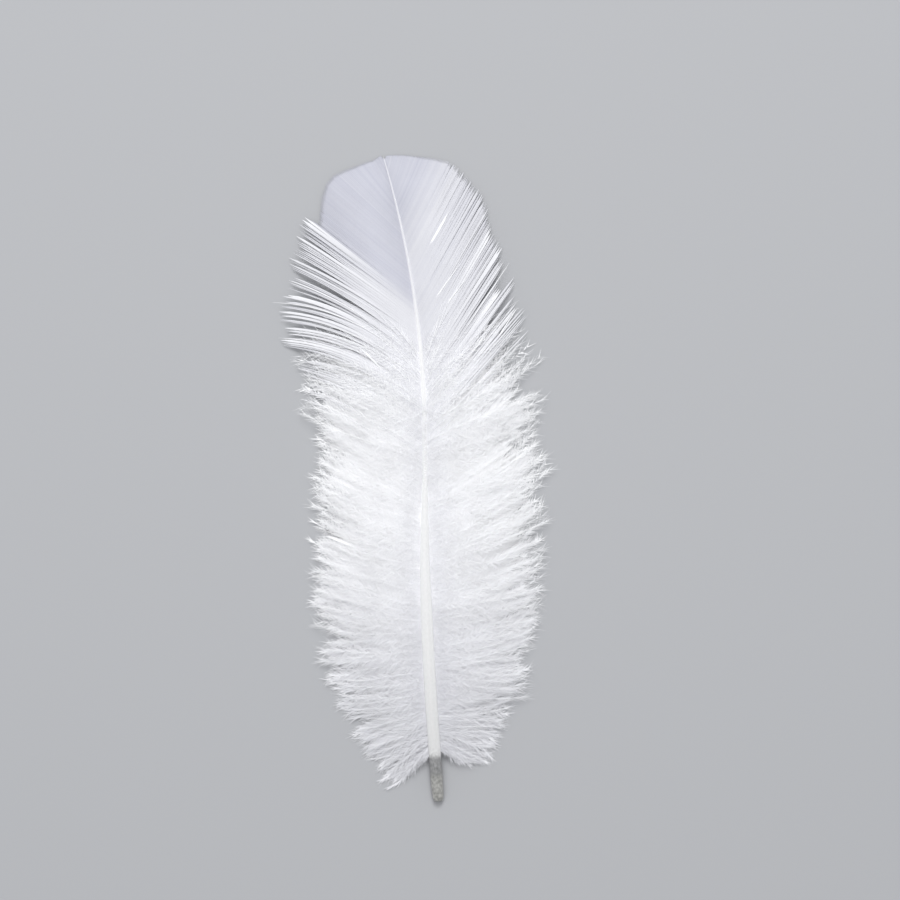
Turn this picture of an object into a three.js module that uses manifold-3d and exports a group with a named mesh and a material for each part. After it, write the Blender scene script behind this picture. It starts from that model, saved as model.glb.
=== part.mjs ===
// A white goose body feather lying on a table, dorsal side up, tip towards +Y.
// One horn shaft (bare quill and tapering rachis) carries a vane and a bed of loose down on each side.
// Vanes and down are modelled as locks, the clumps of barbs that the eye sees from a step away.
// Units are millimetres and degrees, +Z is up and the table is z = 0.
import * as THREE from "three";
import { mergeVertices } from "three/addons/utils/BufferGeometryUtils.js";
import Module from "manifold-3d";

const wasm = await Module();
wasm.setup();

// Driving dimensions of the shaft
const FEATHER_LENGTH = 140;
const QUILL_RADIUS = 1.35;
const QUILL_LEAN = 2.9; // sideways offset of the quill's end
const QUILL_LEAN_END = 55; // the lower shaft is straight above this distance from the quill's end
const QUILL_LEAN_POWER = 1.5;
const TIP_LEAN = 9.1; // sideways offset of the tip, the other way
const TIP_LEAN_START = 78; // the upper shaft starts to bend here
const TIP_LEAN_POWER = 2;
const QUILL_HEIGHT = 1.08; // height of the axis at the quill's end, which touches the table
const TIP_HEIGHT = 0.5;
const ARCH_RISE = 6.6; // how far the middle of the shaft stands above a straight line between its ends
const SHAFT_SIDES = 12;
const SHAFT_RINGS = 26;
const AXIS_STEP = 0.5; // distance used to find the axis's direction
const QUILL_END_RINGS = 4; // the first rows of the taper round off the quill's end
const UMBILICUS_RADIUS = 0.45; // the small hole in the quill's end
const UMBILICUS_DEPTH = 1.5;
const UMBILICUS_FLOOR = 0.3; // height of the cone at the bottom of that hole
const UMBILICUS_RIM = 0.1;

// Distance from the quill's end, and shaft radius there
const SHAFT_TAPER = [
  [0, 0.92],
  [0.5, 1.14],
  [1.6, 1.28],
  [5, QUILL_RADIUS],
  [25, QUILL_RADIUS],
  [42, 1.26],
  [54, 0.98],
  [64, 0.7],
  [80, 0.55],
  [103, 0.41],
  [123, 0.28],
  [136, 0.16],
  [139.4, 0.1],
];

// Driving dimensions of the locks
const BED_GAP = 0.3; // clearance between the shaft, the vane and the down
const LOCK_SIDES = 6;
const PATH_STEP = 0.02; // share of a lock's length used to find its direction
const STRAIGHT = 1e-6; // a turn, in radians, that stands for none
const BED_REACH = 70; // size of the space that a bed of locks is trimmed to
const BED_EDGE_STEPS = 60;
const PARTING_STEPS = 8;
const PARTING_SHARE = 1.3; // how far the line between vane and down runs, in lengths of the locks beside it

// Stations along the shaft: distance of the root from the quill's end, heading of the lock
// away from the shaft, how far it turns outwards along its length, its length,
// and how loose its end is, from 0 (zipped to its neighbours) to 1 (a loose point).
const LEFT_VANE_STATIONS = [
  { root: 86, heading: 40, turn: 45, length: 36, fray: 1 },
  { root: 92, heading: 37, turn: 44, length: 37.2, fray: 1 },
  { root: 96, heading: 43, turn: 20, length: 34, fray: 1 },
  { root: 100, heading: 45, turn: 14, length: 34, fray: 1 },
  { root: 104, heading: 44, turn: 7, length: 33.7, fray: 0.9 },
  { root: 108.2, heading: 43, turn: 4, length: 33, fray: 0.8 },
  { root: 109, heading: 41, turn: 0, length: 26.5, fray: 0.15 },
  { root: 115, heading: 39.5, turn: 0, length: 25, fray: 0 },
  { root: 119, heading: 38, turn: 0, length: 23, fray: 0 },
  { root: 122, heading: 36, turn: 0, length: 20.6, fray: 0 },
  { root: 127, heading: 28.5, turn: 0, length: 14.4, fray: 0 },
  { root: 132, heading: 20, turn: -4, length: 8.4, fray: 0 },
  { root: 136.5, heading: 16, turn: -6, length: 4, fray: 0.2 },
];
const RIGHT_VANE_STATIONS = [
  { root: 86, heading: 38, turn: 0, length: 34, fray: 1 },
  { root: 92, heading: 36, turn: 0, length: 33.5, fray: 0.9 },
  { root: 98, heading: 35, turn: 0, length: 30.3, fray: 0.5 },
  { root: 104, heading: 36, turn: 0, length: 29.6, fray: 0.2 },
  { root: 112, heading: 38, turn: -1, length: 25.8, fray: 0.1 },
  { root: 117, heading: 39, turn: -2, length: 23.3, fray: 0 },
  { root: 121, heading: 39.5, turn: -2, length: 20, fray: 0 },
  { root: 125, heading: 39.5, turn: -3, length: 16, fray: 0 },
  { root: 129, heading: 39, turn: -4, length: 11.9, fray: 0 },
  { root: 136.5, heading: 30, turn: -8, length: 4, fray: 0.2 },
];
const LEFT_DOWN_STATIONS = [
  { root: 12, heading: 120, turn: 8, length: 12, fray: 0.8 },
  { root: 18, heading: 108, turn: 4, length: 18.5, fray: 0.8 },
  { root: 28, heading: 92, turn: -4, length: 24, fray: 0.8 },
  { root: 42, heading: 78, turn: -8, length: 28, fray: 0.8 },
  { root: 60, heading: 66, turn: -4, length: 30.5, fray: 0.8 },
  { root: 76, heading: 56, turn: 12, length: 32, fray: 1 },
  { root: 84, heading: 48, turn: 30, length: 35, fray: 1 },
];
const RIGHT_DOWN_STATIONS = [
  { root: 12, heading: 112, turn: 8, length: 12, fray: 0.8 },
  { root: 18, heading: 98, turn: 2, length: 18.5, fray: 0.8 },
  { root: 28, heading: 86, turn: -6, length: 25, fray: 0.8 },
  { root: 42, heading: 76, turn: -8, length: 30.5, fray: 0.8 },
  { root: 60, heading: 66, turn: -10, length: 32.4, fray: 0.8 },
  { root: 76, heading: 54, turn: -6, length: 31.5, fray: 1 },
  { root: 84, heading: 42, turn: 0, length: 33.5, fray: 1 },
];

// Each bed of locks: how many, their half widths and half thicknesses at root and end,
// the heights of their ends, how far they bow up between root and end, how late they drop to the table,
// and the roll that laps each lock over the next one. What would end below the table lies flat on it.
const VANE = {
  locks: 16,
  rootWidth: 2.6,
  endWidth: 3.3,
  rootThickness: 0.42,
  endThickness: 0.3,
  endHeights: [0.1, 1.3, 0.8],
  bows: [1.1, 1.5, 1.3],
  drop: 1.6,
  roll: 7,
};
const DOWN = {
  locks: 22,
  rootWidth: 4,
  endWidth: 4.2,
  rootThickness: 1,
  endThickness: 1.2,
  endHeights: [-0.6, 3.2, 1.7],
  bows: [0.7, 1.9, 1.3],
  drop: 0.9,
  roll: 0,
};
const FULL_LOCK = 30; // the bows and end heights are those of a lock of this length
const SHORT_LOCK = 9; // a lock shorter than this is narrower in proportion
const LOCK_SHARES = [0, 0.25, 0.55, 0.8, 0.93, 1]; // where a lock has its rings
const ROOT_WIDTH = 0.7; // a lock's width at its root, as a share of its full width
const ROOT_SHARE = 0.3; // share of a lock's length over which it reaches its full width
const BLUNT_TIP = 9; // exponents of the tip's taper: a zipped lock ends blunt, a loose one in a point
const LOOSE_TIP = 2.2;
const TIP_ROUNDNESS = 0.6;

const WELD_DISTANCE = 1e-5;
const UP = new THREE.Vector3(0, 0, 1);
const radians = THREE.MathUtils.degToRad;
const lerp = THREE.MathUtils.lerp;

// The shaft's axis at a distance y from the quill's end.
function shaftPoint(y) {
  const below = Math.max(0, 1 - y / QUILL_LEAN_END);
  const above = Math.max(0, (y - TIP_LEAN_START) / (FEATHER_LENGTH - TIP_LEAN_START));
  const share = THREE.MathUtils.clamp(y / FEATHER_LENGTH, 0, 1);
  const x = QUILL_LEAN * below ** QUILL_LEAN_POWER - TIP_LEAN * above ** TIP_LEAN_POWER;
  const z = lerp(QUILL_HEIGHT, TIP_HEIGHT, share) + ARCH_RISE * Math.sin(Math.PI * share);
  return new THREE.Vector3(x, y, z);
}

// Straight-line interpolation in a list of [position, value] pairs.
function tableValue(table, at) {
  const next = table.findIndex(([position]) => position >= at);
  if (next === 0) return table[0][1];
  if (next < 0) return table[table.length - 1][1];
  const [[before, low], [after, high]] = [table[next - 1], table[next]];
  return lerp(low, high, (at - before) / (after - before));
}

const shaftRadius = (y) => tableValue(SHAFT_TAPER, y);

function stationAt(stations, root) {
  const pick = (key) => tableValue(stations.map((s) => [s.root, s[key]]), root);
  const [heading, turn, length, fray] = ["heading", "turn", "length", "fray"].map(pick);
  return { root, heading, turn, length, fray };
}

// The centre line of one lock. It leaves the shaft's side at the station's heading and turns evenly.
function lockPath(side, station, endHeight, bow, drop) {
  const axis = shaftPoint(station.root);
  const ahead = shaftPoint(station.root + AXIS_STEP).sub(axis);
  const lean = Math.atan2(ahead.x, ahead.y) * side;
  const start = radians(station.heading) + lean;
  const turn = radians(station.turn) || STRAIGHT;
  return (share) => {
    const now = start + turn * share;
    const outwards = (station.length * (Math.cos(start) - Math.cos(now))) / turn;
    const forwards = (station.length * (Math.sin(now) - Math.sin(start))) / turn;
    const height = lerp(axis.z, endHeight, share ** drop) + bow * Math.sin(Math.PI * share);
    return new THREE.Vector3(axis.x + side * outwards, axis.y + forwards, height);
  };
}

// A geometry with only positions, its shared vertices merged and its empty triangles left out.
function weld(geometry) {
  const bare = geometry.clone();
  bare.deleteAttribute("normal");
  bare.deleteAttribute("uv");
  const welded = mergeVertices(bare, WELD_DISTANCE);
  const index = welded.index.array;
  const kept = [];
  for (let i = 0; i < index.length; i += 3) {
    const [a, b, c] = index.slice(i, i + 3);
    if (a !== b && b !== c && c !== a) kept.push(a, b, c);
  }
  return welded.setIndex(kept);
}

function toSolid(geometry) {
  const welded = weld(geometry);
  return new wasm.Manifold(
    new wasm.Mesh({
      numProp: 3,
      vertProperties: new Float32Array(welded.attributes.position.array),
      triVerts: new Uint32Array(welded.index.array),
    }),
  );
}

function toGeometry(solid) {
  const mesh = solid.getMesh();
  const geometry = new THREE.BufferGeometry();
  geometry.setAttribute("position", new THREE.BufferAttribute(mesh.vertProperties, 3));
  geometry.setIndex(new THREE.BufferAttribute(mesh.triVerts, 1));
  geometry.computeVertexNormals();
  return geometry;
}

// Turns a profile of [radius, height] pairs about the Y axis.
function lathe(profile, sides) {
  const points = profile.map(([radius, height]) => new THREE.Vector2(radius, height));
  return weld(new THREE.LatheGeometry(points, sides));
}

// Moves every vertex of a geometry to where place(x, y, z) says.
function bend(geometry, place) {
  const position = geometry.attributes.position;
  for (let i = 0; i < position.count; i++) {
    const moved = place(position.getX(i), position.getY(i), position.getZ(i));
    position.setXYZ(i, moved.x, moved.y, moved.z);
  }
  return geometry;
}

// A lock's outline, as a share of its half width: full in the middle, rounded or pointed at the tip.
function lockOutline(fray) {
  const exponent = lerp(BLUNT_TIP, LOOSE_TIP, fray);
  const root = (share) => lerp(ROOT_WIDTH, 1, Math.min(1, share / ROOT_SHARE));
  const tip = (share) => (1 - share ** exponent) ** TIP_ROUNDNESS;
  return [[0, 0], ...LOCK_SHARES.map((share) => [root(share) * tip(share), share])];
}

// One lock: a flattened, tapering blade turned on a lathe and then bent along its path.
function lock(bed, side, station, order) {
  const level = order % bed.endHeights.length;
  const reach = station.length / FULL_LOCK;
  const path = lockPath(side, station, bed.endHeights[level] * reach, bed.bows[level] * reach, bed.drop);
  const scale = Math.min(1, station.length / SHORT_LOCK);
  const roll = radians(bed.roll) * side;
  return bend(lathe(lockOutline(station.fray), LOCK_SIDES), (x, share, z) => {
    const before = path(Math.max(0, share - PATH_STEP));
    const along = path(Math.min(1, share + PATH_STEP)).sub(before).normalize();
    const across = new THREE.Vector3().crossVectors(along, UP).normalize();
    const normal = new THREE.Vector3().crossVectors(across, along);
    const flat = x * scale * lerp(bed.rootWidth, bed.endWidth, share);
    const raised = z * lerp(bed.rootThickness, bed.endThickness, share);
    return path(share)
      .addScaledVector(across, flat * Math.cos(roll) - raised * Math.sin(roll))
      .addScaledVector(normal, flat * Math.sin(roll) + raised * Math.cos(roll));
  });
}

// The line in plan where vane and down part on one side, from the shaft outwards.
function partingLine(side, vaneStation, downStation) {
  const middle = {};
  for (const key of Object.keys(vaneStation)) middle[key] = (vaneStation[key] + downStation[key]) / 2;
  const path = lockPath(side, middle, 0, 0, 1);
  return Array.from({ length: PARTING_STEPS + 1 }, (_, i) => path((i / PARTING_STEPS) * PARTING_SHARE));
}

// The space that one bed fills: above the table, clear of the shaft, and on its own side
// of the parting line. Towards is 1 for the vane, which lies tipwards of that line, and -1 for the down.
function bedSpace(side, towards, parting) {
  const far = towards > 0 ? FEATHER_LENGTH + BED_REACH : -BED_REACH;
  const edge = new THREE.Shape();
  edge.moveTo(side * BED_REACH, far);
  edge.lineTo(side * BED_REACH, parting[parting.length - 1].y);
  for (const point of parting.slice(1).reverse()) {
    edge.lineTo(point.x, point.y + (towards * BED_GAP) / 2);
  }
  for (let i = 0; i <= BED_EDGE_STEPS; i++) {
    const y = lerp(parting[0].y + towards * BED_GAP, far, i / BED_EDGE_STEPS);
    edge.lineTo(shaftPoint(y).x + side * (shaftRadius(y) + BED_GAP), y);
  }
  edge.closePath();
  return toSolid(new THREE.ExtrudeGeometry(edge, { depth: BED_REACH, bevelEnabled: false }));
}

// All the locks of one bed, joined where they lap over each other and trimmed to the bed's space.
function lockBed(bed, side, stations, space) {
  const first = stations[0].root;
  const last = stations[stations.length - 1].root;
  const solids = [];
  for (let i = 0; i < bed.locks; i++) {
    const root = lerp(first, last, i / (bed.locks - 1));
    solids.push(toSolid(lock(bed, side, stationAt(stations, root), i)));
  }
  return toGeometry(wasm.Manifold.union(solids).intersect(space));
}

// The vane and the down on one side of the shaft.
function webSide(name, side, vaneStations, downStations) {
  const parting = partingLine(side, vaneStations[0], downStations[downStations.length - 1]);
  const vane = lockBed(VANE, side, vaneStations, bedSpace(side, 1, parting));
  const down = lockBed(DOWN, side, downStations, bedSpace(side, -1, parting));
  return [piece(`${name}_vane`, vane, web), piece(`${name}_down`, down, fluff)];
}

// The horn shaft: a lathe turning with a small hole in the quill's end, bent along the shaft's axis.
function shaft() {
  const profile = [
    [0, UMBILICUS_DEPTH],
    [UMBILICUS_RADIUS, UMBILICUS_DEPTH - UMBILICUS_FLOOR],
    [UMBILICUS_RADIUS, UMBILICUS_RIM],
  ];
  const quillEnd = SHAFT_TAPER.slice(0, QUILL_END_RINGS);
  for (const [y, radius] of quillEnd) profile.push([radius, y]);
  const stretchStart = quillEnd[QUILL_END_RINGS - 1][0];
  const stretchEnd = SHAFT_TAPER[SHAFT_TAPER.length - 1][0];
  for (let i = 1; i <= SHAFT_RINGS; i++) {
    const y = lerp(stretchStart, stretchEnd, i / SHAFT_RINGS);
    profile.push([shaftRadius(y), y]);
  }
  profile.push([0, FEATHER_LENGTH]);
  return bend(lathe(profile, SHAFT_SIDES), (x, y, z) => {
    const along = shaftPoint(y + AXIS_STEP).sub(shaftPoint(y - AXIS_STEP)).normalize();
    const across = new THREE.Vector3().crossVectors(along, UP).normalize();
    const normal = new THREE.Vector3().crossVectors(across, along);
    return shaftPoint(y).addScaledVector(across, x).addScaledVector(normal, z);
  });
}

const horn = new THREE.MeshStandardMaterial({ color: 0xece9e0, roughness: 0.35, metalness: 0 });
const web = new THREE.MeshStandardMaterial({ color: 0xe6e6ec, roughness: 0.6, metalness: 0 });
const fluff = new THREE.MeshStandardMaterial({ color: 0xf4f4f6, roughness: 0.9, metalness: 0 });

function piece(name, geometry, material) {
  const mesh = new THREE.Mesh(geometry, material);
  mesh.name = name;
  return mesh;
}

const LEFT = -1;
const RIGHT = 1;
const feather = new THREE.Group();
feather.add(
  piece("shaft", shaft(), horn),
  ...webSide("left", LEFT, LEFT_VANE_STATIONS, LEFT_DOWN_STATIONS),
  ...webSide("right", RIGHT, RIGHT_VANE_STATIONS, RIGHT_DOWN_STATIONS),
);

// The origin is under the middle of the feather, on the table.
const box = new THREE.Box3().setFromObject(feather);
feather.position.set(-(box.min.x + box.max.x) / 2, -(box.min.y + box.max.y) / 2, -box.min.z);

export default new THREE.Group().add(feather);
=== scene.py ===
"""A white goose body feather lying on a pale table, dorsal side up, with its tip towards +Y.

One horn shaft carries, on each side, a vane of zipped and frayed barbs and a bed of loose down.
Sizes are millimetres and angles degrees. A piece's points become metres when its mesh is made.
"""

import math

import bmesh
import bpy
import numpy as np
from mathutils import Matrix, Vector


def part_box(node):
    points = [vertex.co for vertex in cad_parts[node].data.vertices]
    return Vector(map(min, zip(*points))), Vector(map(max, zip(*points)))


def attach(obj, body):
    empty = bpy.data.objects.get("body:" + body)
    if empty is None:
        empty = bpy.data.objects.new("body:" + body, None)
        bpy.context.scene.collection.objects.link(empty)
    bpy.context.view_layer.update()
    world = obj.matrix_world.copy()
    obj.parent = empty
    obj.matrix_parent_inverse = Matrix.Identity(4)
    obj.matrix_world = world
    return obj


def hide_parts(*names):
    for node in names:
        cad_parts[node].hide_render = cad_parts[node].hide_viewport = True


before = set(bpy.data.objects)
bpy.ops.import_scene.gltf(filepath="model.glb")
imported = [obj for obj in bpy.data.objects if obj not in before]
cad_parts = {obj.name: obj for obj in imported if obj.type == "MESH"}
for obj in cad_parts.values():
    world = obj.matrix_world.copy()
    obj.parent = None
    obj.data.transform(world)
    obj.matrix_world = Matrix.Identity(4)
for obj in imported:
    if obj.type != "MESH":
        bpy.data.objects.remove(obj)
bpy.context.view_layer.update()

MM = 0.001
LEFT = -1
RIGHT = 1
UP = (0.0, 0.0, 1.0)
SHORTEST_VECTOR = 1e-9  # keeps a vector of no length from dividing by zero
STRAIGHT = 0.01  # a turn that stands for none
BLADE_POINTS = 4  # points in each ring of a barb's blade, and in a whole barbule

# The shaft's axis and girth
FEATHER_LENGTH = 140
QUILL_LEAN = 2.9  # sideways offset of the quill's end
QUILL_LEAN_END = 55  # the quill's lean is gone at this distance from its end
QUILL_LEAN_POWER = 1.5
TIP_LEAN = 9.1  # sideways offset of the tip, the other way
TIP_LEAN_START = 78  # the tip's lean begins at this one
TIP_LEAN_POWER = 2
QUILL_HEIGHT = 1.08
TIP_HEIGHT = 0.5
ARCH_RISE = 6.6
AXIS_STEP = 0.5  # distance used to find the axis's direction
SHAFT_TAPER = np.array([
    (0, 0.92),
    (0.5, 1.14),
    (1.6, 1.28),
    (5, 1.35),
    (25, 1.35),
    (42, 1.26),
    (54, 0.98),
    (64, 0.7),
    (80, 0.55),
    (103, 0.41),
    (123, 0.28),
    (136, 0.16),
    (139.4, 0.1),
])
QUILL_END_RINGS = 3  # the first rows of the taper round off the quill's end
TIP_POINT = 0.01
UMBILICUS_RADIUS = 0.45  # the small hole in the quill's end
UMBILICUS_DEPTH = 1.5
UMBILICUS_FLOOR = 0.3  # height of the cone at the bottom of that hole
UMBILICUS_POINT = 0.02
UMBILICUS_RIM = 0.12
GROOVE_START = 24  # the furrow under the rachis begins here
GROOVE_RUN_IN = 12  # and reaches its full depth over this distance
GROOVE_DEPTH = 0.6  # as a share of the shaft's radius
GROOVE_WIDTH = 0.5  # in radians round the shaft
SHAFT_SIDES = 24
SHAFT_RINGS = 90
MERGE_DISTANCE = 0.001

# Barbs along the shaft: root's distance from the quill's end, heading away from the shaft, turn along
# the barb and length. A vane's barb also has how loose its end is, from 0 (zipped) to 1 (loose).
LEFT_VANE_STATIONS = np.array([
    (72, 54, 16, 30, 1),
    (80, 46, 30, 33.5, 1),
    (86, 40, 45, 36, 1),
    (92, 37, 44, 37.2, 1),
    (96, 43, 20, 34, 1),
    (100, 45, 14, 34, 1),
    (104, 44, 7, 33.7, 0.9),
    (108.2, 44, 1, 32.5, 0.8),
    (109, 43.5, 0, 26.5, 0.15),
    (115, 39.5, 0, 25, 0),
    (119, 38, 0, 23, 0),
    (122, 36, 0, 20.6, 0),
    (124.5, 32.5, 0, 17.6, 0),
    (127, 28.5, 0, 14.4, 0),
    (132, 20, -4, 8.4, 0),
    (136.5, 16, -6, 4, 0.2),
    (139, 10, -6, 1.4, 0.2),
])
RIGHT_VANE_STATIONS = np.array([
    (72, 47, -2, 31, 1),
    (80, 42, 0, 34, 1),
    (86, 38, 0, 34, 1),
    (92, 36, 0, 33.5, 0.8),
    (98, 35, 0, 30.5, 0.5),
    (103, 36, 0, 30.5, 0.45),
    (107, 37, 0, 28.8, 0.4),
    (112, 38, -1, 26.2, 0.35),
    (117, 39, -2, 23.5, 0.25),
    (121, 39.5, -2, 20.2, 0),
    (125, 39.5, -3, 16.2, 0),
    (129, 39, -4, 12, 0),
    (136.5, 30, -8, 4, 0.2),
    (139, 14, -8, 1.2, 0.2),
])
LEFT_DOWN_STATIONS = np.array([
    (10, 124, 6, 7),
    (12, 113, 8, 15),
    (18, 108, 4, 19),
    (28, 92, -4, 24),
    (42, 78, -8, 28),
    (60, 66, -4, 30.5),
    (76, 56, 12, 32),
    (84, 48, 30, 35),
    (92, 38, 42, 35.5),
    (97, 43, 18, 33),
])
RIGHT_DOWN_STATIONS = np.array([
    (11, 118, 8, 7.5),
    (13, 110, 8, 13),
    (18, 98, 2, 18.5),
    (28, 86, -6, 25),
    (42, 76, -8, 30.5),
    (60, 66, -10, 32.4),
    (76, 54, -6, 31.5),
    (84, 42, 0, 33.5),
    (97, 35, 0, 31),
])
# How late a barb falls towards its end, by its root: an even fall is 1
BARB_DROP = np.array([(66, 0.9), (90, 1.6)])
FULL_LENGTH = 30  # bows and end heights are those of a barb of this length
ROOT_INSET = 0.75  # a barb's root, as a share of the shaft's radius
TABLE_CLEARANCE = 0.03
SHORT_WAVE_SHARE = 0.5  # a barb wavers in long waves and in shorter ones of this share of their size

# The vane's barbs
BARB_SPACING = 0.34
VANE_BOW = 1.2
VANE_END_HEIGHT = 0.7
VANE_SHARES = np.linspace(0, 1, 15) ** 0.9  # places along a barb, a little closer towards its end
VANE_WAVES = {"size": 0.16, "long": 2.2, "short": 5}
VANE_THINNING = np.array([(72, 0.1), (84, 1)])  # share of the barbs that are there, by root
VANE_NARROWING = np.array([(72, 0.3), (86, 1)])  # share of their full width, by root
BARB_LAP = 0.7  # half a zipped barb's width, as a share of the distance to the next one
GAP_LIMITS = (0.05, 0.5)  # the least and greatest distance that counts for this
WEB_HALF_HEIGHT = 0.035
LOOSE_HALF_WIDTH = 0.05
BLADE_ROLL = 5  # each barb's blade leans this far over the next one
TAPERED_END = 0.06  # share of a barb's length over which it narrows to its end
END_WIDTH = 0.12  # the end's width and height, as shares of the full ones
END_THICKNESS = 0.4
END_SCATTER = 0.035  # how much loose barbs differ in length
CLUMP_PULL = 0.28
CLUMP_LIFTS = (-0.25, 0.35)  # how far a clump's end may lie below or above the others
CLUMP_POWER = 1.6  # clumps and rims form late along a barb
FRAY_START = 0.45  # a loose barb grows thinner beyond this share of its length
FRAY_THINNING = 0.65
# Where the vane splits, and how far the barbs beside the split roll up to a rim, which is raised and carries
# a painted highlight
LEFT_SPLITS = np.array([
    (74.5, 0), (77.6, 0), (80.8, 0), (83.5, 0.3), (86.2, 0.6), (88.8, 0.4), (91, 0.5),
    (94, 0.7), (97.3, 0.3), (100.6, 0.2), (104.4, 0.4), (108.6, 1), (112, 0), (116, 0), (120, 0),
])
RIGHT_SPLITS = np.array([
    (74.2, 0), (77, 0), (79.8, 0), (82.5, 0.5), (85, 0.3), (87.4, 0.7), (90, 0.4),
    (93, 0.5), (97, 1), (101.5, 0.3), (105, 0), (108.5, 0), (112, 0), (115.5, 0), (119, 0),
])
RIM_WIDTH = 1.3
RIM_RISE = 0.4
# Single stray barbs: root, heading, turn, length, shares where it comes free and ends, half width, rise
LEFT_STRAYS = np.array([
    (78.6, 40, 4, 33, 0.56, 0.83, 0.16, 1.6),
    (84.2, 41, 3, 35, 0.36, 0.6, 0.2, 0.5),
    (87, 43, 10, 33, 0.5, 0.94, 0.08, 0.9),
    (92.5, 36, 48, 37, 0.12, 1, 0.09, 0.5),
    (95, 40, 26, 34, 0.4, 1, 0.08, 0.6),
])
RIGHT_STRAYS = np.array([
    (76.9, 33, 0, 36, 0.6, 1, 0.13, 0.8),
    (84.1, 38.5, 0, 34, 0.42, 0.62, 0.16, 0.5),
    (88, 33, 4, 34, 0.5, 1, 0.08, 0.8),
    (100.3, 43, 0, 30.5, 0.25, 0.52, 0.1, 0.2),
    (104.1, 43, 0, 30, 0.1, 0.5, 0.12, 0.2),
    (113.8, 40, 0, 25, 0.3, 0.6, 0.13, 0.12),
    (114.1, 40, 0, 25, 0.28, 0.64, 0.16, 0.15),
])
STRAY_SHARES = np.linspace(0, 1, 9)
STRAY_FLATNESS = 0.6  # a stray's height as a share of its width
ROUND_EDGE = 1.02  # a little over 1, so that a rounded edge or end keeps some thickness
# Whiteness of the vane's barbs by their roots, from 0 (blue-grey) to 1 (white): partly their own change
# towards the white down, partly painted shade that draws the left lobe darker than the right
LEFT_WHITENESS_AND_SHADE = np.array([(80, 0.54), (90, 0.36), (105, 0.34), (110, 0.06)])
RIGHT_WHITENESS_AND_SHADE = np.array([(80, 0.54), (90, 0.33), (104, 0.26), (118, 0.26), (128, 0.06)])
WHITENESS_SPREAD = 0.02
# painted highlight on the rolled-up rims beside the splits
RIM_PAINTED_HIGHLIGHT = 0.6
# painted highlight: stray barbs are drawn full white where they catch the light
STRAY_PAINTED_HIGHLIGHT = 1
FLUFF_WHITENESS = 0.9

# Barbules: their number on a barb, length, width, angles to the barb at its root and end, and how much they
# spread up and down
VANE_FLUFF = {"each": 90, "length": 1.0, "width": 0.07, "root_angle": 46, "tip_angle": 14, "spread": 20}
UPPER_FLUFF = {"each": 140, "length": 3.2, "width": 0.068, "root_angle": 58, "tip_angle": 22, "spread": 22}
UNDER_FLUFF = {"each": 130, "length": 2.6, "width": 0.16, "root_angle": 66, "tip_angle": 30, "spread": 30}
BUNCH_SIZE = 8
BUNCH_LEAN = 9
STRAND_LEAN = 9
BUNCH_LIFT = 6
STRAND_LIFT = 12
OPENING_POWER = 1.5
BLADE_WOBBLE = 0.25
ROOT_FULLNESS = 0.55  # a barbule's length at the barb's root, as a share of the full length
FULLNESS_PACE = 1.1  # how fast barbules lengthen and shorten again along the barb
FULLNESS_END = 0.8  # where along that change they stop getting shorter
BARBULE_LENGTHS = (0.65, 1.15)
BARBULE_WIDTHS = (0.7, 1.2)
BARBULE_OPENNESS = np.array([(14, 0.45), (34, 1)])  # they lie closer to the barb beside the quill
FADE_START = 84  # barbules thin out between these distances from the quill's end
FADE_END = 104

# The down's barbs: their heights are given for the lowest and the highest of each set
UPPER_DOWN = {
    "barbs": 300,
    "fluff": UPPER_FLUFF,
    "end_heights": (0.85, 3),
    "bows": (1.1, 2.4),
    "sink": 0,  # how far below the axis they leave the shaft, as a share of its radius
    "crossing": 0.5,  # share of the highest barbs that lie over the shaft
}
UNDER_DOWN = {
    "barbs": 290,
    "fluff": UNDER_FLUFF,
    "end_heights": (0.1, 1.4),
    "bows": (-2.2, -0.2),
    "sink": 0.8,
    "crossing": 0,
}
DOWN_WAVES = {"size": 0.6, "long": 3, "short": 7}
RAMUS_SHARES = np.linspace(0, 1, 10)
RAMUS_RADIUS = 0.05
RAMUS_TAPER = 0.7
LOCKS = 22
LOCK_BLUR = 0.25  # barbs near a lock's border may belong to the next one
LOCK_HEADING = 3  # how much headings and turns differ from lock to lock and from barb to barb
BARB_HEADING = np.array([(15, 12), (40, 6)])  # by root
LOCK_TURN = 7
BARB_TURN = 11
LOCK_LENGTHS = (0.86, 0.98)
BARB_LENGTHS = (0.68, 0.98)
LOCK_LEVEL = 0.55  # the lock's part in a barb's height, the rest being the barb's own
LOCK_PULL = 0.35
LOCK_PULL_POWER = 1.5
CROSSING_START = 68  # between these distances from the quill's end, some upper barbs lie over the shaft
CROSSING_END = 84
CROSSING_RISE = 0.7
CROSSING_SHIFTS = (0.5, 4)

# The matted sheet in the middle of the down
FELT_ROOTS = np.linspace(15, 90, 240)
FELT_SHARES = np.linspace(0, 1, 14)
FELT_LENGTH = np.array([(15, 0.5), (30, 0.64), (45, 0.82)])  # its reach, as a share of the barbs'
FELT_PATCHES = 44
FELT_PATCH_LENGTH = 0.88  # the shortest patch, as a share of the longest
FELT_FRINGE = 0.72  # its edge is ragged: fibres end between this share of its reach and all of it
FELT_HALF_HEIGHT = 0.35
FELT_END_HEIGHT = 1.7
FELT_BOW = 0.7
FELT_RELIEF = 0.2
FELT_THIN_ENDS = 3  # it grows thin over this distance at its two ends
FELT_THINNEST = 0.05
FELT_SINK = 0.35  # how far it lies below the barbs' roots

# Whiteness of the down by distance from the quill's end, a painted shade that draws it darker towards that
# end, and how much it differs from strand to strand
DOWN_PAINTED_SHADING = np.array([(6, 0.3), (22, 0.45), (45, 0.8), (68, 1)])
DOWN_MOTTLE = 0.15
SHAFT_PAINTED_SHADE = 0.4  # painted shade: the down is drawn less white beside the shaft, where a shadow falls, within about this reach
SHAFT_PAINTED_SHADE_REACH = 4

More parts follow.
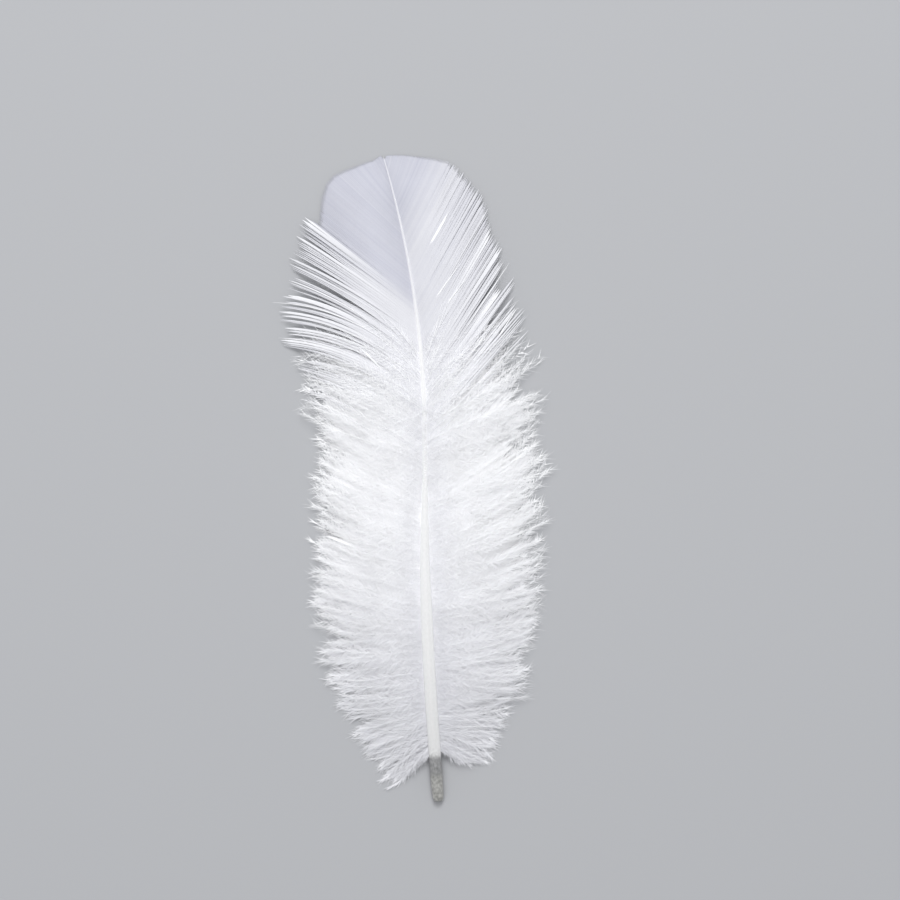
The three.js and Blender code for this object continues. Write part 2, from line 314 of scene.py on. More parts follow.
# The feather's two sides
LEFT_HALF = {
    "name": "left",
    "side": LEFT,
    "vane": LEFT_VANE_STATIONS,
    "splits": LEFT_SPLITS,
    "strays": LEFT_STRAYS,
    "whiteness_and_shade": LEFT_WHITENESS_AND_SHADE,
    "down": LEFT_DOWN_STATIONS,
    "seeds": {"vane": 11, "middle": 21, "upper": 31, "under": 41},
}
RIGHT_HALF = {
    "name": "right",
    "side": RIGHT,
    "vane": RIGHT_VANE_STATIONS,
    "splits": RIGHT_SPLITS,
    "strays": RIGHT_STRAYS,
    "whiteness_and_shade": RIGHT_WHITENESS_AND_SHADE,
    "down": RIGHT_DOWN_STATIONS,
    "seeds": {"vane": 12, "middle": 22, "upper": 32, "under": 42},
}

# Horn: colour and strength of the mottling by distance from the quill's end
HORN_COLOURS = (
    (0, (0.373, 0.368, 0.349)),
    (5.2, (0.354, 0.352, 0.335)),
    (6.2, (0.258, 0.258, 0.258)),
    (9.5, (0.296, 0.296, 0.296)),
    (10.2, (0.71, 0.71, 0.705)),
    (30, (0.785, 0.785, 0.78)),
    (50, (0.815, 0.815, 0.815)),
    (98, (0.845, 0.845, 0.845)),
    (114, (0.73, 0.73, 0.76)),
    (140, (0.69, 0.69, 0.73)),
)
HORN_MOTTLE = ((0, (0.85, 0.85, 0.85)), (9.5, (0.6, 0.6, 0.6)), (12, (0.08, 0.08, 0.08)))
HORN_SHADES = (0.5, 1.3)
HORN_EDGE_HIGHLIGHT = (0.89, 1.23)  # painted highlight: horn is drawn brighter towards the shaft's two sides
HORN_HIGHLIGHT_POWER = 2
HORN_ROUGHNESS = 0.38
HORN_COAT = 0.15
HORN_BUMP = 0.25

# Barbs: colour by whiteness, and shades of fine grain and of larger patches
WEB_COLOURS = ((0, (0.47, 0.475, 0.545)), (0.3, (0.65, 0.65, 0.685)), (1, (0.94, 0.94, 0.955)))
WEB_ROUGHNESS = 0.5
DOWN_COLOURS = ((0, (0.76, 0.76, 0.79)), (1, (0.99, 0.99, 0.998)))
DOWN_ROUGHNESS = 0.8
BARB_SHEEN = 0.1
BARB_SHEEN_ROUGHNESS = 0.5
BARB_SPECULAR = 0.2
BARB_SHADES = (0.97, 1.01)
PATCH_SHADES = (0.96, 1.01)
BARB_BUMP = 0.15
BUMP_DEPTH = 0.05
RAMP_MIDDLE = 0.5  # a ramp's added stops stand here until they get their own place

# Grain: noise cells a metre, and the range of its values that is used
HORN_GRAIN = (2600, 1500, 2600)
BARB_GRAIN = (4000, 4000, 4000)
PATCH_GRAIN = (150, 150, 150)
GRAIN_DETAIL = 3
GRAIN_LOW = 0.3
GRAIN_HIGH = 0.7

# The table, the light and the picture
TABLE_HALF = 1500
TABLE_COLOUR = (0.4, 0.405, 0.42, 1)
TABLE_ROUGHNESS = 0.8
KEY_LIGHT = {"place": (20, 500, 800), "watts": 4.7, "width": 450}
OVERHEAD_LIGHT = {"place": (-120, 50, 1100), "watts": 5.2, "width": 1200}
SURROUND_COLOUR = (0.95, 0.97, 1, 1)
SURROUND_STRENGTH = 0.47
DIFFUSE_BOUNCES = 12
FRAME_WIDTH = 194.8  # what the picture's full width shows at the feather
VIEW_CENTRE = (5.41, 76.2, 4.0)  # the middle of the picture, from the origin below
CAMERA_DISTANCE = 900
CAMERA_CLIP = 10
SENSOR_WIDTH = 36

# Where the straight stretch of the shaft, carried down to the quill's end, stands on the table
shaft_low, shaft_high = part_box("shaft")
ORIGIN = np.array((shaft_low.x + TIP_LEAN * MM, shaft_high.y - FEATHER_LENGTH * MM, 0.0))


def by_root(table, y):
    """Second column of a table read at distances y from the quill's end, which are its first column."""
    return np.interp(y, table[:, 0], table[:, 1])


def at_station(stations, roots):
    """Every later column of a table of stations, read at the given roots."""
    return [np.interp(roots, stations[:, 0], column) for column in stations.T[1:]]


def shaft_axis(y):
    """Points of the shaft's axis at distances y from the quill's end."""
    y = np.asarray(y, float)
    below = np.clip(1 - y / QUILL_LEAN_END, 0, None)
    above = np.clip((y - TIP_LEAN_START) / (FEATHER_LENGTH - TIP_LEAN_START), 0, None)
    share = np.clip(y / FEATHER_LENGTH, 0, 1)
    x = QUILL_LEAN * below**QUILL_LEAN_POWER - TIP_LEAN * above**TIP_LEAN_POWER
    z = QUILL_HEIGHT + (TIP_HEIGHT - QUILL_HEIGHT) * share + ARCH_RISE * np.sin(np.pi * share)
    return np.stack([x, y, z], axis=-1)


def shaft_lean(y):
    """Angle in plan between the shaft's axis and +Y, in radians."""
    ahead = shaft_axis(y + AXIS_STEP) - shaft_axis(y)
    return np.arctan2(ahead[..., 0], ahead[..., 1])


def unit(vectors):
    return vectors / np.maximum(np.linalg.norm(vectors, axis=-1, keepdims=True), SHORTEST_VECTOR)


def barb_paths(side, roots, heading, turn, length, end_height, bow, shares):
    """Centre lines of barbs that leave the shaft's side and turn evenly, as an array (barb, step, xyz)."""
    axis = shaft_axis(roots)
    start = np.radians(heading) + shaft_lean(roots) * side
    turn = np.radians(np.where(np.abs(turn) < STRAIGHT, STRAIGHT, turn))
    now = start[:, None] + turn[:, None] * shares
    outwards = length[:, None] * (np.cos(start)[:, None] - np.cos(now)) / turn[:, None]
    forwards = length[:, None] * (np.sin(now) - np.sin(start)[:, None]) / turn[:, None]
    edge = ROOT_INSET * by_root(SHAFT_TAPER, roots)
    x = axis[:, :1] + side * (edge[:, None] + outwards)
    y = axis[:, 1:2] + forwards
    drop = by_root(BARB_DROP, roots)
    fall = (end_height - axis[:, 2])[:, None] * shares ** drop[:, None]
    z = axis[:, 2:] + fall + bow[:, None] * np.sin(np.pi * shares)
    return np.stack([x, y, z], axis=-1)


def path_frames(paths):
    """Direction, sideways and upwards unit vectors along each path."""
    along = unit(np.gradient(paths, axis=1))
    across = unit(np.cross(along, UP))
    return along, across, np.cross(across, along)


def along_paths(values, shares, positions):
    """Values given at shares along each barb, read at other positions along each of them."""
    step = np.clip(np.searchsorted(shares, positions, side="right") - 1, 0, len(shares) - 2)
    part = (positions - shares[step]) / (shares[step + 1] - shares[step])
    row = np.arange(len(values))[:, None]
    return values[row, step] * (1 - part[..., None]) + values[row, step + 1] * part[..., None]


def waver(rng, count, waves, shares):
    """How far each barb strays sideways in long and short waves."""
    size = rng.normal(0, waves["size"], (count, 2))
    long_wave = size[:, :1] * np.sin(waves["long"] * shares)
    short_wave = size[:, 1:] * np.sin(waves["short"] * shares)
    return long_wave + short_wave * SHORT_WAVE_SHARE


def tubes(rings):
    """Closed tubes through rings of points, an array (tube, ring, point, xyz): points and triangles."""
    tube_count, ring_count, size = rings.shape[:3]
    index = np.arange(tube_count * ring_count * size).reshape(tube_count, ring_count, size)
    following = np.roll(index, -1, axis=2)
    a, b = index[:, :-1], following[:, :-1]
    c, d = following[:, 1:], index[:, 1:]
    faces = [np.stack([a, b, c], -1).reshape(-1, 3), np.stack([a, c, d], -1).reshape(-1, 3)]
    for corner in range(1, size - 1):
        faces.append(index[:, 0][:, [0, corner + 1, corner]])
        faces.append(index[:, -1][:, [0, corner, corner + 1]])
    return rings.reshape(-1, 3), np.concatenate(faces)


def ribbons(paths, across, up, half_width, half_height):
    """Closed blades of lens section along paths: points and triangles."""
    wide = across * half_width[..., None]
    high = up * half_height[..., None]
    return tubes(np.stack([paths - wide, paths + high, paths + wide, paths - high], axis=2))


def spikes(bases, tips, width, rng):
    """Closed pointed blades from bases to tips with their broad faces up: points and triangles."""
    along = unit(tips - bases)
    above = np.array(UP) + rng.normal(0, BLADE_WOBBLE, along.shape)
    sideways = unit(np.cross(along, above))
    upwards = np.cross(sideways, along)
    half = width[:, None] / 2
    corners = [bases - sideways * half, bases + sideways * half, bases - upwards * half, tips]
    index = np.arange(len(bases) * BLADE_POINTS).reshape(-1, BLADE_POINTS)
    faces = [index[:, face] for face in ([0, 1, 3], [0, 3, 2], [3, 1, 2], [0, 2, 1])]
    return np.stack(corners, axis=1).reshape(-1, 3), np.concatenate(faces)


def barbules(paths, shares, rng, openness, fluff):
    """Barbules in bunches along both sides of each barb, more or less open: points and triangles."""
    count = len(paths)
    each = fluff["each"]
    along, across, up = path_frames(paths)
    positions = (np.arange(each) + rng.random((count, each))) / each
    bunch = np.arange(each) // BUNCH_SIZE
    by_bunch = (count, bunch[-1] + 1)
    by_strand = (count, each)
    lean = rng.normal(0, BUNCH_LEAN, by_bunch)[:, bunch] + rng.normal(0, STRAND_LEAN, by_strand)
    lift = rng.normal(BUNCH_LIFT, fluff["spread"], by_bunch)[:, bunch]
    lift = np.radians(lift + rng.normal(0, STRAND_LIFT, by_strand))[..., None]
    opening = fluff["root_angle"] + (fluff["tip_angle"] - fluff["root_angle"]) * positions**OPENING_POWER
    opening = np.radians(opening * openness[:, None] + lean)[..., None]
    turn = np.where(np.arange(each) % 2 == 0, 1.0, -1.0)[None, :, None]
    base = along_paths(paths, shares, positions)
    sideways = along_paths(across, shares, positions) * turn
    outward = sideways * np.cos(lift) + along_paths(up, shares, positions) * np.sin(lift)
    direction = unit(along_paths(along, shares, positions) * np.cos(opening) + outward * np.sin(opening))
    swell = np.sin(np.pi * np.clip(positions * FULLNESS_PACE, 0, FULLNESS_END))
    fullness = ROOT_FULLNESS + (1 - ROOT_FULLNESS) * swell
    reach = fluff["length"] * fullness * rng.uniform(*BARBULE_LENGTHS, by_strand)
    tips = base + direction * reach[..., None]
    tips[..., 2] = np.maximum(tips[..., 2], TABLE_CLEARANCE)
    width = fluff["width"] * rng.uniform(*BARBULE_WIDTHS, by_strand)
    stays = (FADE_END - base[..., 1]) / (FADE_END - FADE_START) > rng.random(by_strand)
    return spikes(base[stays], tips[stays], width[stays], rng)


def down_tone(points, rng, mottle):
    """Whiteness of the down at each point with painted shade, darker towards the quill's end and beside the
    shaft, the same for every few points that make one blade.
    """
    x, y, _ = points[::BLADE_POINTS].T
    # painted shade: the down is drawn less white beside the shaft and towards the quill's end
    beside_shaft = np.exp(-(((x - shaft_axis(y)[:, 0]) / SHAFT_PAINTED_SHADE_REACH) ** 2))
    tone = by_root(DOWN_PAINTED_SHADING, y) - SHAFT_PAINTED_SHADE * beside_shaft
    return np.repeat(np.clip(tone + rng.normal(0, mottle, len(y)), 0, 1), BLADE_POINTS)


def joined(parts):
    """Several (points, triangles, tone) sets as one."""
    offset = 0
    faces = []
    for points, triangles, _ in parts:
        faces.append(triangles + offset)
        offset += len(points)
    return (
        np.concatenate([points for points, _, _ in parts]),
        np.concatenate(faces),
        np.concatenate([tone for _, _, tone in parts]),
    )


def mesh_piece(name, points, triangles, tone, material, smooth=False):
    """A mesh object from arrays, with a tone for each point."""
    mesh = bpy.data.meshes.new(name)
    place = points * MM
    place[:, 2] = np.maximum(place[:, 2], TABLE_CLEARANCE * MM)
    place += ORIGIN
    mesh.vertices.add(len(place))
    mesh.vertices.foreach_set("co", place.astype(np.float32).ravel())
    mesh.loops.add(len(triangles) * 3)
    mesh.loops.foreach_set("vertex_index", triangles.astype(np.int32).ravel())
    mesh.polygons.add(len(triangles))
    mesh.polygons.foreach_set("loop_start", np.arange(0, len(triangles) * 3, 3, dtype=np.int32))
    mesh.polygons.foreach_set("use_smooth", np.full(len(triangles), smooth))
    mesh.update(calc_edges=True)
    mesh.attributes.new("tone", "FLOAT", "POINT").data.foreach_set("value", tone.astype(np.float32))
    mesh.materials.append(material)
    piece = bpy.data.objects.new(name, mesh)
    bpy.context.scene.collection.objects.link(piece)
    return piece


def dress(piece, node):
    """Hangs the piece from the root body and hides the CAD node it stands for."""
    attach(piece, "root")
    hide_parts(node)


def web_paths(side, roots, heading, turn, length, shares):
    """Centre lines of barbs that lie in the vane."""
    reach = length / FULL_LENGTH
    return barb_paths(side, roots, heading, turn, length, VANE_END_HEIGHT * reach, VANE_BOW * reach, shares)


def vane_barbs(half, roots, rng):
    """Centre lines of one vane's barbs, how loose each is, and how far it is rolled up to a rim."""
    shares = VANE_SHARES
    splits = half["splits"]
    heading, turn, length, loose = at_station(half["vane"], roots)
    clump = np.searchsorted(splits[:, 0], roots)
    clumps = clump[-1] + 1
    scatter = rng.exponential(END_SCATTER, len(roots)) + rng.exponential(END_SCATTER, clumps)[clump]
    paths = web_paths(half["side"], roots, heading, turn, length * (1 - loose * scatter), shares)
    # Barbs of one clump draw towards its middle, and those beside a split roll up to a rim
    late = shares**CLUMP_POWER
    middle = np.array([paths[clump == c].mean(axis=0) for c in range(clumps)])[clump]
    from_split = (splits[:, 0] - roots[:, None]) * -half["side"]
    rims = np.where(from_split > 0, np.exp(-((from_split / RIM_WIDTH) ** 2)), 0) * splits[:, 1]
    rim = rims.max(axis=1)
    paths += (middle - paths) * ((CLUMP_PULL * loose * (1 - rim))[:, None] * late)[..., None]
    lift = rng.uniform(*CLUMP_LIFTS, clumps)[clump] * loose + RIM_RISE * rim
    paths[..., 2] += lift[:, None] * late
    sideways = waver(rng, len(roots), VANE_WAVES, shares) * loose[:, None] * late
    return paths + path_frames(paths)[1] * sideways[..., None], loose, rim


def blade_sizes(paths, across, roots, loose, rim):
    """Half widths and half heights along a vane's barbs."""
    # A zipped barb is as wide as the distance to the next one, a loose end is a thinner strand
    step = np.diff(paths, axis=0, append=paths[-1:] * 2 - paths[-2:-1])
    gap = np.clip(np.abs(np.sum(step * across, axis=-1)), *GAP_LIMITS)
    fray = np.clip((VANE_SHARES - FRAY_START) / (1 - FRAY_START), 0, 1) * FRAY_THINNING
    zipped = 1 - (loose * (1 - rim))[:, None] * fray
    zipped = zipped * by_root(VANE_NARROWING, roots)[:, None]
    end = np.clip((1 - VANE_SHARES) / TAPERED_END, END_WIDTH, 1)
    half_width = np.maximum(gap * BARB_LAP * zipped, LOOSE_HALF_WIDTH) * end
    half_height = np.full_like(half_width, WEB_HALF_HEIGHT) * np.clip(end, END_THICKNESS, 1)
    return half_width, half_height


def stray_barbs(half):
    """Single barbs, painted bright as a highlight, that have come free of the vane and lie over it: points
    and triangles.
    """
    roots, heading, turn, length, start, end, half_width, rise = half["strays"].T
    shares = STRAY_SHARES
    paths = web_paths(half["side"], roots, heading, turn, length, shares)
    paths = along_paths(paths, shares, start[:, None] + (end - start)[:, None] * shares)
    paths[..., 2] += rise[:, None] * np.sin(np.pi / 2 * shares)
    _, across, up = path_frames(paths)
    wide = half_width[:, None] * np.sqrt(ROUND_EDGE - (2 * shares - 1) ** 2)
    return ribbons(paths, across, up, wide, wide * STRAY_FLATNESS)


def vane(half, material):
    """One side's vane: barbs lie edge to edge where zipped and draw together in clumps where frayed."""
    rng = np.random.default_rng(half["seeds"]["vane"])
    roots = np.arange(half["vane"][0, 0], half["vane"][-1, 0], BARB_SPACING)
    paths, loose, rim = vane_barbs(half, roots, rng)
    _, across, up = path_frames(paths)
    wide, high = blade_sizes(paths, across, roots, loose, rim)
    roll = math.radians(BLADE_ROLL) * half["side"]
    lateral = across * math.cos(roll) + up * math.sin(roll)
    normal = up * math.cos(roll) - across * math.sin(roll)
    kept = rng.random(len(roots)) < by_root(VANE_THINNING, roots)
    blades = ribbons(paths[kept], lateral[kept], normal[kept], wide[kept], high[kept])
    # the barbs' own whiteness by root, with painted shade that draws the left lobe darker than the right
    whiteness_and_painted_light = by_root(half["whiteness_and_shade"], roots) + rng.normal(0, WHITENESS_SPREAD, len(roots))
    # painted highlight along each rim, growing towards the barbs' ends
    whiteness_and_painted_light = whiteness_and_painted_light[:, None] + RIM_PAINTED_HIGHLIGHT * rim[:, None] * VANE_SHARES**CLUMP_POWER
    blade_tone = np.repeat(np.clip(whiteness_and_painted_light[kept], 0, 1).ravel(), BLADE_POINTS)
    fluffy = paths[kept & (roots < FADE_END)]
    fluff = barbules(fluffy, VANE_SHARES, rng, np.ones(len(fluffy)), VANE_FLUFF)
    strays = stray_barbs(half)
    # the stray barbs are painted full white as a highlight
    parts = [
        (*blades, blade_tone),
        (*fluff, np.full(len(fluff[0]), FLUFF_WHITENESS)),
        (*strays, np.full(len(strays[0]), STRAY_PAINTED_HIGHLIGHT)),
    ]
    piece = mesh_piece(f"{half['name']}_vane_barbs", *joined(parts), material)
    dress(piece, f"{half['name']}_vane")


def down_barbs(half, down, rng):
    """Roots and centre lines of one set of loose down barbs, which waver in locks at many heights."""
    stations = half["down"]
    shares = RAMUS_SHARES
    count = down["barbs"]
    first, last = stations[0, 0], stations[-1, 0]
    roots = first + (last - first) * (np.arange(count) + rng.random(count)) / count
    lock = (roots - first) / (last - first) * LOCKS + rng.normal(0, LOCK_BLUR, count)
    lock = np.clip(lock, 0, LOCKS - 1).astype(int)
    heading, turn, length = at_station(stations, roots)
    heading = heading + rng.normal(0, LOCK_HEADING, LOCKS)[lock]
    heading = heading + rng.normal(0, 1, count) * by_root(BARB_HEADING, roots)
    turn = turn + rng.normal(0, LOCK_TURN, LOCKS)[lock] + rng.normal(0, BARB_TURN, count)
    length = length * rng.uniform(*LOCK_LENGTHS, LOCKS)[lock] * rng.uniform(*BARB_LENGTHS, count)
    level = LOCK_LEVEL * rng.random(LOCKS)[lock] + (1 - LOCK_LEVEL) * rng.random(count)
    reach = length / FULL_LENGTH
    end_height = np.interp(level, (0, 1), down["end_heights"]) * reach
    bow = np.interp(level, (0, 1), down["bows"]) * reach
    paths = barb_paths(half["side"], roots, heading, turn, length, end_height, bow, shares)
    middle = np.array([paths[lock == c].mean(axis=0) for c in range(LOCKS)])[lock]
    pull = LOCK_PULL * shares**LOCK_PULL_POWER
    paths[..., :2] += ((middle - paths) * pull[:, None])[..., :2]
    sideways = waver(rng, count, DOWN_WAVES, shares) * shares
    paths = paths + path_frames(paths)[1] * sideways[..., None]
    # Under barbs leave the shaft lower down, and some of the upper ones start beyond it and lie over it
    near_shaft = (1 - shares) ** 2
    paths[..., 2] -= (down["sink"] * by_root(SHAFT_TAPER, roots))[:, None] * near_shaft
    crossing = (roots > CROSSING_START) & (roots < CROSSING_END)
    crossing = crossing & (rng.random(count) < down["crossing"] * level)
    shift = np.where(crossing, rng.uniform(*CROSSING_SHIFTS, count), 0)
    paths[..., 0] -= half["side"] * shift[:, None] * near_shaft
    paths[..., 2] += np.where(crossing, CROSSING_RISE, 0)[:, None] * near_shaft
    return roots, paths


def down_bed(half, layer, down, material):
    """One set of loose down barbs with barbules along them."""
    rng = np.random.default_rng(half["seeds"][layer])
    roots, paths = down_barbs(half, down, rng)
    _, across, up = path_frames(paths)
    thin = RAMUS_RADIUS * (1 - RAMUS_TAPER * RAMUS_SHARES) * np.ones((len(paths), 1))
    rami = ribbons(paths, across, up, thin, thin)
    rami_tone = down_tone(rami[0], rng, DOWN_MOTTLE)
    fluff = barbules(paths, RAMUS_SHARES, rng, by_root(BARBULE_OPENNESS, roots), down["fluff"])
    fluff_tone = down_tone(fluff[0], rng, DOWN_MOTTLE)
    points, faces, tone = joined([(*rami, rami_tone), (*fluff, fluff_tone)])
    piece = mesh_piece(f"{half['name']}_down_{layer}", points, faces, tone, material)
    dress(piece, f"{half['name']}_down")


def felt(half, material):
    """The dense matted middle of one side's down: a thin uneven sheet between the loose barbs."""
    rng = np.random.default_rng(half["seeds"]["middle"])
    shares = FELT_SHARES
    heading, turn, length = at_station(half["down"], FELT_ROOTS)
    patches = np.linspace(FELT_ROOTS[0], FELT_ROOTS[-1], FELT_PATCHES)
    length = length * by_root(FELT_LENGTH, FELT_ROOTS)
    length = length * np.interp(FELT_ROOTS, patches, rng.uniform(FELT_PATCH_LENGTH, 1, FELT_PATCHES))
    length = length * rng.uniform(FELT_FRINGE, 1, len(FELT_ROOTS))
    reach = length / FULL_LENGTH
    end_height = FELT_END_HEIGHT * reach
    paths = barb_paths(half["side"], FELT_ROOTS, heading, turn, length, end_height, FELT_BOW * reach, shares)
    relief = [np.interp(FELT_ROOTS, patches, rng.normal(0, FELT_RELIEF, FELT_PATCHES)) for _ in shares]
    paths[..., 2] += np.stack(relief, axis=1) * np.sin(np.pi * shares) - FELT_SINK * (1 - shares)
    from_end = np.minimum(FELT_ROOTS - FELT_ROOTS[0], FELT_ROOTS[-1] - FELT_ROOTS)
    thin = np.clip(from_end / FELT_THIN_ENDS, FELT_THINNEST, 1)[:, None]
    high = np.zeros_like(paths)
    high[..., 2] = FELT_HALF_HEIGHT * thin * np.sqrt(ROUND_EDGE - shares**2)
    rings = np.concatenate([paths + high, (paths - high)[:, ::-1]], axis=1)
    points, faces = tubes(rings[None, :, :: half["side"]])
    tone = down_tone(points, rng, 0)
    piece = mesh_piece(f"{half['name']}_down_middle", points, faces, tone, material, smooth=True)
    dress(piece, f"{half['name']}_down")


def shaft_rows():
    """Radius and place of each ring of the shaft, from inside the hole in the quill's end to the tip."""
    hole = [
        (UMBILICUS_POINT, UMBILICUS_DEPTH),
        (UMBILICUS_RADIUS, UMBILICUS_DEPTH - UMBILICUS_FLOOR),
        (UMBILICUS_RADIUS, UMBILICUS_RIM),
    ]
    end = [(radius, y) for y, radius in SHAFT_TAPER[:QUILL_END_RINGS]]
    stretch = np.linspace(SHAFT_TAPER[QUILL_END_RINGS, 0], SHAFT_TAPER[-1, 0], SHAFT_RINGS)
    rows = hole + end + [(by_root(SHAFT_TAPER, y), y) for y in stretch]
    return np.array(rows + [(TIP_POINT, FEATHER_LENGTH)])


def shaft(material):
    """The horn shaft: a sheet rolled to a tube, bent along the axis, with a furrow under the rachis."""
    rows = shaft_rows()
    sheet_half = 0.5
    underneath = 1.5 * math.pi
    tube = bmesh.new()
    tube.loops.layers.uv.new("round_and_along")
    bmesh.ops.create_grid(
        tube, x_segments=SHAFT_SIDES, y_segments=len(rows) - 1, size=sheet_half, calc_uvs=True
    )
    for vertex in tube.verts:
        angle = 2 * math.pi * (vertex.co.x + sheet_half)
        radius, y = rows[round((vertex.co.y + sheet_half) * (len(rows) - 1))]
        depth = GROOVE_DEPTH * min(1, max(0, (y - GROOVE_START) / GROOVE_RUN_IN))
        away = abs(angle - underneath)
        high = math.sin(angle) * (1 - depth * math.exp(-((away / GROOVE_WIDTH) ** 2)))
        along = Vector(unit(shaft_axis(y + AXIS_STEP) - shaft_axis(y - AXIS_STEP)))
        across = along.cross(Vector(UP)).normalized()
        up = across.cross(along)
        place = Vector(shaft_axis(y)) + across * (radius * math.cos(angle)) + up * (radius * high)
        vertex.co = place * MM + Vector(ORIGIN)
    bmesh.ops.remove_doubles(tube, verts=tube.verts, dist=MERGE_DISTANCE * MM)
    bmesh.ops.holes_fill(tube, edges=tube.edges)
    bmesh.ops.recalc_face_normals(tube, faces=tube.faces)
    mesh = bpy.data.meshes.new("quill_shaft")
    tube.to_mesh(mesh)
    tube.free()
    mesh.shade_smooth()
    mesh.materials.append(material)
    piece = bpy.data.objects.new("quill_shaft", mesh)
    bpy.context.scene.collection.objects.link(piece)
    dress(piece, "shaft")


def new_material(name):
    material = bpy.data.materials.new(name)
    material.use_nodes = True
    return material, material.node_tree.nodes, material.node_tree.links


def scaled(nodes, links, colour, factor):
    """A colour output made darker or lighter by a value output."""
    product = nodes.new("ShaderNodeVectorMath")
    product.operation = "SCALE"
    links.new(colour, product.inputs["Vector"])
    links.new(factor, product.inputs["Scale"])
    return product.outputs["Vector"]


def grain(nodes, links, stretch):
    """Noise in the feather's own space, finer along the axes with the larger stretch."""
    place = nodes.new("ShaderNodeTexCoord")
    scale = nodes.new("ShaderNodeVectorMath")
    scale.operation = "MULTIPLY"
    scale.inputs[1].default_value = stretch
    links.new(place.outputs["Object"], scale.inputs[0])
    noise = nodes.new("ShaderNodeTexNoise")
    noise.inputs["Scale"].default_value = 1
    noise.inputs["Detail"].default_value = GRAIN_DETAIL
    links.new(scale.outputs["Vector"], noise.inputs["Vector"])
    return noise.outputs["Fac"]


def brought_to(nodes, links, value, start, end, shades):
    """A value between start and end brought to a range of shades."""
    span = nodes.new("ShaderNodeMapRange")
    span.inputs["From Min"].default_value = start
    span.inputs["From Max"].default_value = end
    span.inputs["To Min"].default_value, span.inputs["To Max"].default_value = shades
    links.new(value, span.inputs["Value"])
    return span.outputs["Result"]


def bump(nodes, links, shader, height, strength):
    relief = nodes.new("ShaderNodeBump")
    relief.inputs["Strength"].default_value = strength
    relief.inputs["Distance"].default_value = BUMP_DEPTH * MM
    links.new(height, relief.inputs["Height"])
    links.new(relief.outputs["Normal"], shader.inputs["Normal"])


def colour_ramp(nodes, links, value, stops, run=1):
    """The colour at a value, from a ramp through (position, colour) stops over a run."""
    ramp = nodes.new("ShaderNodeValToRGB")
    elements = ramp.color_ramp.elements
    while len(elements) < len(stops):
        elements.new(RAMP_MIDDLE)
    for element, (position, colour) in zip(elements, stops):
        element.position = position / run
        element.color = (*colour, 1)
    links.new(value, ramp.inputs["Fac"])
    return ramp.outputs["Color"]


def barb_material(name, colours, roughness):
    """White keratin strands whose tone differs from strand to strand."""
    material, nodes, links = new_material(name)
    shader = nodes["Principled BSDF"]
    shader.inputs["Roughness"].default_value = roughness
    shader.inputs["Sheen Weight"].default_value = BARB_SHEEN
    shader.inputs["Sheen Roughness"].default_value = BARB_SHEEN_ROUGHNESS
    shader.inputs["Specular IOR Level"].default_value = BARB_SPECULAR
    tone = nodes.new("ShaderNodeAttribute")
    tone.attribute_name = "tone"
    colour = colour_ramp(nodes, links, tone.outputs["Fac"], colours)
    fine = grain(nodes, links, BARB_GRAIN)
    patches = grain(nodes, links, PATCH_GRAIN)
    for noise, shades in ((fine, BARB_SHADES), (patches, PATCH_SHADES)):
        shade = brought_to(nodes, links, noise, GRAIN_LOW, GRAIN_HIGH, shades)
        colour = scaled(nodes, links, colour, shade)
    links.new(colour, shader.inputs["Base Color"])
    bump(nodes, links, shader, fine, BARB_BUMP)
    return material


def sidewards(nodes, links):
    """How far a point of the shaft faces to its sides, from 0 on top and underneath to 1."""
    unrolled = nodes.new("ShaderNodeUVMap")
    unrolled.uv_map = "round_and_along"
    turn = nodes.new("ShaderNodeSeparateXYZ")
    links.new(unrolled.outputs["UV"], turn.inputs["Vector"])
    value = turn.outputs["X"]
    for operation, amount in (
        ("MULTIPLY", 2 * math.pi),
        ("COSINE", 0),
        ("ABSOLUTE", 0),
        ("POWER", HORN_HIGHLIGHT_POWER),
    ):
        step = nodes.new("ShaderNodeMath")
        step.operation = operation
        step.inputs[1].default_value = amount
        links.new(value, step.inputs[0])
        value = step.outputs["Value"]
    return value


def horn_material():
    """Pale horn: mottled pith in the quill's end, a grey stretch above it, then white with a painted
    highlight towards both edges.
    """
    material, nodes, links = new_material("horn")
    shader = nodes["Principled BSDF"]
    shader.inputs["Roughness"].default_value = HORN_ROUGHNESS
    shader.inputs["Coat Weight"].default_value = HORN_COAT
    place = nodes.new("ShaderNodeTexCoord")
    split = nodes.new("ShaderNodeSeparateXYZ")
    links.new(place.outputs["Object"], split.inputs["Vector"])
    quill_end, tip = ORIGIN[1], ORIGIN[1] + FEATHER_LENGTH * MM
    run = brought_to(nodes, links, split.outputs["Y"], quill_end, tip, (0, 1))
    colour = colour_ramp(nodes, links, run, HORN_COLOURS, FEATHER_LENGTH)
    pith = grain(nodes, links, HORN_GRAIN)
    mottle = nodes.new("ShaderNodeMix")
    links.new(colour_ramp(nodes, links, run, HORN_MOTTLE, FEATHER_LENGTH), mottle.inputs["Factor"])
    mottle.inputs["A"].default_value = 1
    links.new(brought_to(nodes, links, pith, GRAIN_LOW, GRAIN_HIGH, HORN_SHADES), mottle.inputs["B"])
    colour = scaled(nodes, links, colour, mottle.outputs["Result"])
    # painted highlight along both sides of the shaft
    edge = brought_to(nodes, links, sidewards(nodes, links), 0, 1, HORN_EDGE_HIGHLIGHT)
    links.new(scaled(nodes, links, colour, edge), shader.inputs["Base Color"])
    bump(nodes, links, shader, pith, HORN_BUMP)
    return material


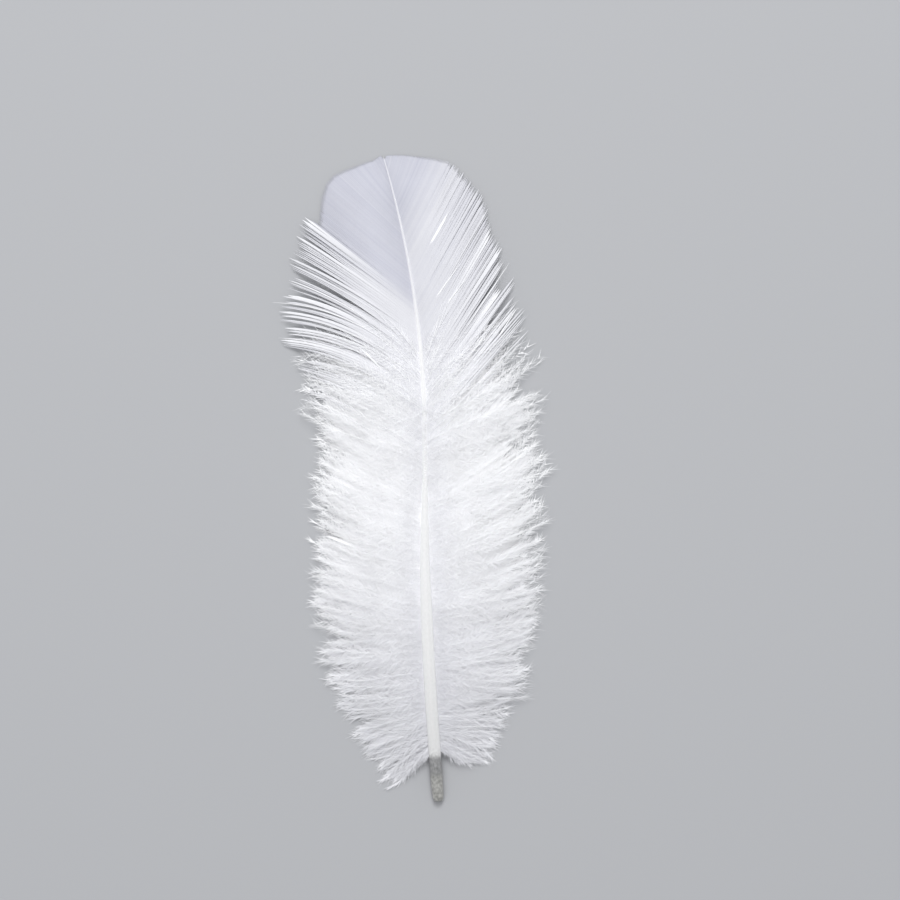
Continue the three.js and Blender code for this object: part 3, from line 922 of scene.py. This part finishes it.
def floor():
    """A plain pale table top."""
    sheet = bmesh.new()
    bmesh.ops.create_grid(sheet, x_segments=1, y_segments=1, size=TABLE_HALF * MM)
    mesh = bpy.data.meshes.new("table_top")
    sheet.to_mesh(mesh)
    sheet.free()
    material, nodes, _ = new_material("pale_table")
    nodes["Principled BSDF"].inputs["Base Color"].default_value = TABLE_COLOUR
    nodes["Principled BSDF"].inputs["Roughness"].default_value = TABLE_ROUGHNESS
    mesh.materials.append(material)
    top = bpy.data.objects.new("table_top", mesh)
    bpy.context.scene.collection.objects.link(top)


def round_light(name, setting):
    """A round soft light turned towards the feather."""
    light = bpy.data.lights.new(name, "AREA")
    light.energy = setting["watts"]
    light.shape = "DISK"
    light.size = setting["width"] * MM
    lamp = bpy.data.objects.new(name, light)
    lamp.location = Vector(setting["place"]) * MM
    lamp.rotation_euler = (-lamp.location).to_track_quat("-Z", "Y").to_euler()
    bpy.context.scene.collection.objects.link(lamp)


def studio():
    """Soft light from above the tip, a wide light overhead and a pale surround."""
    round_light("key", KEY_LIGHT)
    round_light("overhead", OVERHEAD_LIGHT)
    world = bpy.data.worlds.new("surround")
    world.use_nodes = True
    background = world.node_tree.nodes["Background"]
    background.inputs["Color"].default_value = SURROUND_COLOUR
    background.inputs["Strength"].default_value = SURROUND_STRENGTH
    bpy.context.scene.world = world
    bpy.context.scene.view_settings.view_transform = "Standard"
    bpy.context.scene.cycles.diffuse_bounces = DIFFUSE_BOUNCES


def camera():
    """Looks straight down with the tip at the top of the picture."""
    data = bpy.data.cameras.new("camera")
    data.sensor_width = SENSOR_WIDTH
    data.lens = SENSOR_WIDTH * CAMERA_DISTANCE / FRAME_WIDTH
    data.clip_start = CAMERA_CLIP * MM
    eye = bpy.data.objects.new("camera", data)
    x, y, z = VIEW_CENTRE
    eye.location = Vector(ORIGIN) + Vector((x, y, z + CAMERA_DISTANCE)) * MM
    bpy.context.scene.collection.objects.link(eye)
    bpy.context.scene.camera = eye


camera()
studio()
floor()
shaft(horn_material())
web = barb_material("vane_web", WEB_COLOURS, WEB_ROUGHNESS)
fluffy_down = barb_material("down_fluff", DOWN_COLOURS, DOWN_ROUGHNESS)
for feather_half in (LEFT_HALF, RIGHT_HALF):
    vane(feather_half, web)
for feather_half in (LEFT_HALF, RIGHT_HALF):
    felt(feather_half, fluffy_down)
    down_bed(feather_half, "upper", UPPER_DOWN, fluffy_down)
    down_bed(feather_half, "under", UNDER_DOWN, fluffy_down)
